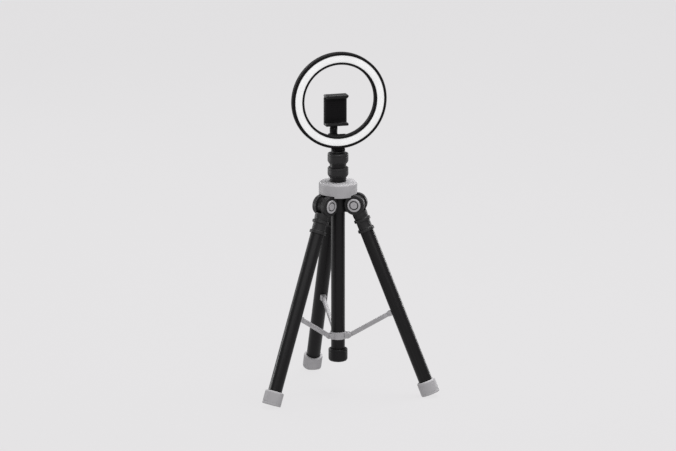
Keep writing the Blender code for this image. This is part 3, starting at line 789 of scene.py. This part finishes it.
def make_arm(where):
    """The stem out of the mount block and the blade up behind the clamp's plate."""
    up = -TILT_Z
    arm = turned(cylinder(STEM_R, 543.4 + up, 556.0 + up, ROUND, 1.2), at=(0, ARM_Y, 0))
    parts = [turned(cylinder(SPIGOT_R, 530.4 + up, 548.0 + up, 64), at=(0, ARM_Y, 0)),
             box((-8.0, 29.0, 550.0 + up), (8.0, 35.5, 606.0 + up), 2.4),
             turned(cylinder(BOSS_R, -BOSS_BACK, -PLATE_Y[1] - GAP, ROUND, 0.8), ACROSS,
                    (0, 0, CLAMP_Z + up))]
    bore = drill(SWIVEL_BORE_R, -50, 50, ACROSS, (0, 0, CLAMP_Z + up))
    finish(join(join(arm, parts), [bore], "DIFFERENCE"), "clamp_arm", where)


def jaw_bar(low, high, lip_low, lip_high):
    """A jaw across the clamp and the raised lip along its front."""
    bar = box((-CLAMP_HALF_W, JAW_FRONT_Y, low), (CLAMP_HALF_W, PLATE_Y[1], high), 2.2)
    lip = box((-CLAMP_HALF_W + 2, JAW_FRONT_Y + 0.2, lip_low),
              (CLAMP_HALF_W - 2, JAW_FRONT_Y + 3.0, lip_high), 0.9)
    return [bar, lip]


def make_plate(where, bottom, seam):
    """The back plate in one with the lower jaw, bored for the rods and the swivel pin."""
    plate = box((-CLAMP_HALF_W, PLATE_Y[0], bottom), (CLAMP_HALF_W, PLATE_Y[1], seam - GAP), 1.8)
    jaw = jaw_bar(bottom, bottom + JAW_H, bottom + 2, bottom + JAW_H + 1.6)
    holes = [drill(ROD_BORE_R, bottom + 7, bottom + 75, at=(x, ROD_Y, 0)) for x in (-ROD_X, ROD_X)]
    holes.append(drill(SWIVEL_BORE_R, -60, 0, ACROSS))
    for side in (-1, 1):
        holes.append(box((side * 18 - 3, PLATE_Y[1] - 0.7, bottom + 14),
                         (side * 18 + 3, PLATE_Y[1] + 5, seam - 10), 0.6))
    finish(join(join(plate, jaw), holes, "DIFFERENCE"), "clamp_body", where)
    pin = cylinder(SWIVEL_PIN_R, -BOSS_BACK - 0.5, -PLATE_Y[0] - 0.5, SMALL_ROUND, 0.5)
    pin = turned(pin, ACROSS)
    finish(pin, "swivel_pin", where)


def make_jaw(where, bottom, seam):
    """The sprung upper jaw on its two rods."""
    bar, lip = jaw_bar(seam, seam + JAW_H, seam - 1.6, seam + 3)
    finish(join(bar, [lip]), "clamp_jaw", where)
    for x, label in ((-ROD_X, "left"), (ROD_X, "right")):
        rod = turned(cylinder(ROD_R, bottom + 12, seam - GAP, SMALL_ROUND), at=(x, ROD_Y, 0))
        finish(rod, "clamp_rod_" + label, where)


def make_jaw_pad(where, label, low, high, edge):
    """A rubber pad on a jaw, with three grooves along its free side."""
    pad = box((-PAD_HALF_W, JAW_FRONT_Y + 4.2, low), (PAD_HALF_W, PLATE_Y[0] - 1.6, high), 0.4)
    ribs = [box((-19, y, edge - 0.4), (19, y + 0.8, edge + 0.4))
            for y in (JAW_FRONT_Y + 5.6, JAW_FRONT_Y + 7.8, JAW_FRONT_Y + 10.0)]
    finish(join(pad, ribs, "DIFFERENCE"), "clamp_pad_" + label, where)


def make_back_pad(where, low, high):
    """The rubber pad on the back plate, with nine grooves across it."""
    front = PLATE_Y[0] - 1.3
    pad = box((-PAD_HALF_W, front, low), (PAD_HALF_W, PLATE_Y[0] - GAP, high), 0.4)
    ribs = []
    for k in range(9):
        z = low + 4.0 + k * (high - low - 8.0) / 8
        ribs.append(box((-18, front - 1, z - 0.4), (18, front + 0.35, z + 0.4)))
    finish(join(pad, ribs, "DIFFERENCE"), "clamp_pad_back", where)


def make_clamp(where):
    """The phone clamp; its pieces are made about the swivel axis."""
    make_arm(where)
    swivel = where @ pose((0, 0, CLAMP_Z - TILT_Z))
    bottom = CLAMP_BOTTOM - CLAMP_Z
    seam = CLAMP_TOP - JAW_H - CLAMP_Z
    jaw_face = bottom + JAW_H
    make_plate(swivel, bottom, seam)
    make_jaw(swivel, bottom, seam)
    make_jaw_pad(swivel, "lower", jaw_face + GAP, jaw_face + 1.8, jaw_face + 1.8)
    make_jaw_pad(swivel, "upper", seam - 1.8, seam - GAP, seam - 1.8)
    make_back_pad(swivel, jaw_face + 4, seam - 5)


def make_head():
    """Everything above the column; what tilts is made about the tilt pin."""
    make_pole()
    where = ROOT @ pose((0, 0, TILT_Z))
    make_mount(where)
    make_ring(where)
    make_screws(where)
    make_inlet(where)
    make_clamp(where)


make_hub()
make_collars()
make_centre()
for leg_name, leg_azimuth in zip(LEG_NAMES, LEG_AZIMUTH):
    make_leg(leg_name, leg_azimuth)
make_head()


# ---------------------------------------------------------------- stage
def floor_material():
    """A pale floor that is mostly its own even light, so shadows stay faint."""
    mat = bpy.data.materials.new("pale_floor")
    mat.use_nodes = True
    tree = mat.node_tree
    nodes, links = tree.nodes, tree.links
    nodes.clear()
    out = nodes.new("ShaderNodeOutputMaterial")
    place = nodes.new("ShaderNodeTexCoord")
    mottle = nodes.new("ShaderNodeTexNoise")
    mottle.inputs["Scale"].default_value = 1.5
    tint = nodes.new("ShaderNodeMix")
    tint.data_type = "RGBA"
    tint.inputs["A"].default_value = (0.763, 0.756, 0.763, 1.0)
    tint.inputs["B"].default_value = (0.769, 0.758, 0.769, 1.0)
    glow = nodes.new("ShaderNodeEmission")
    glow.inputs["Strength"].default_value = 1.0
    matte = nodes.new("ShaderNodeBsdfDiffuse")
    both = nodes.new("ShaderNodeMixShader")
    both.inputs[0].default_value = 0.03
    links.new(place.outputs["Object"], mottle.inputs["Vector"])
    links.new(mottle.outputs["Fac"], tint.inputs["Factor"])
    links.new(tint.outputs["Result"], glow.inputs["Color"])
    links.new(tint.outputs["Result"], matte.inputs["Color"])
    links.new(glow.outputs[0], both.inputs[1])
    links.new(matte.outputs[0], both.inputs[2])
    links.new(both.outputs[0], out.inputs["Surface"])
    return mat


def make_floor():
    """A level square, a hair under the feet."""
    half = 60.0
    mesh = bpy.data.meshes.new("floor")
    mesh.from_pydata([(-half, -half, 0), (half, -half, 0), (half, half, 0), (-half, half, 0)], [],
                     [(0, 1, 2, 3)])
    floor = shape("floor", mesh)
    floor.location.z = -0.0002
    mesh.materials.append(floor_material())


def area_light(name, at, aim, size, power, sheen_only=False):
    """A soft box; one that is sheen_only shows in gloss but lights no matte surface."""
    data = bpy.data.lights.new(name, "AREA")
    data.shape = "RECTANGLE"
    data.size, data.size_y = size
    data.energy = power
    lamp = bpy.data.objects.new(name, data)
    bpy.context.scene.collection.objects.link(lamp)
    lamp.visible_camera = False
    lamp.visible_diffuse = not sheen_only
    lamp.location = at
    lamp.rotation_euler = (Vector(aim) - Vector(at)).to_track_quat("-Z", "Y").to_euler()


def make_lights():
    """Soft light from above, in front and behind, and two boxes behind that only give sheen."""
    world = bpy.data.worlds.new("studio")
    bpy.context.scene.world = world
    world.use_nodes = True
    back = world.node_tree.nodes["Background"]
    back.inputs["Color"].default_value = (0.98, 0.98, 1.0, 1.0)
    back.inputs["Strength"].default_value = 0.36
    middle = (0, 0, 0.35)
    area_light("key", (0.6, 0.2, 2.8), middle, (1.6, 1.6), 125.0)
    area_light("rim", (-4.3, 2.9, 0.4), (0, 0, 0.3), (1.4, 0.8), 112.0, sheen_only=True)
    area_light("fill", (4.55, 2.65, 0.95), (0, 0, 0.3), (0.96, 1.8), 75.0, sheen_only=True)
    area_light("front", (-1.2, -4.6, 3.0), middle, (9.0, 3.0), 190.0)
    area_light("back", (-0.9, 2.6, 1.3), (0, 0, 0.45), (2.2, 0.9), 30.0)


CAMERA_AZIMUTH = -16.02         # degrees, 0 looks along +Y
CAMERA_ELEVATION = 13.13
CAMERA_DISTANCE = 15.0
CAMERA_AIM_Z = 0.3544
CAMERA_LENS = 383.4


def make_camera():
    """A long lens a little to the left and above, looking at the column."""
    azimuth, elevation = math.radians(CAMERA_AZIMUTH), math.radians(CAMERA_ELEVATION)
    back = Vector((math.sin(azimuth) * math.cos(elevation), -math.cos(azimuth) * math.cos(elevation),
                   math.sin(elevation)))
    data = bpy.data.cameras.new("camera")
    data.sensor_width = 36.0
    data.lens = CAMERA_LENS
    data.clip_end = 200.0
    cam = bpy.data.objects.new("camera", data)
    bpy.context.scene.collection.objects.link(cam)
    cam.location = AXIS + Vector((0, 0, CAMERA_AIM_Z)) + back * CAMERA_DISTANCE
    cam.rotation_euler = back.to_track_quat("Z", "Y").to_euler()
    bpy.context.scene.camera = cam


make_floor()
make_lights()
make_camera()
bpy.context.scene.view_settings.view_transform = "Standard"

bpy.context.view_layer.update()
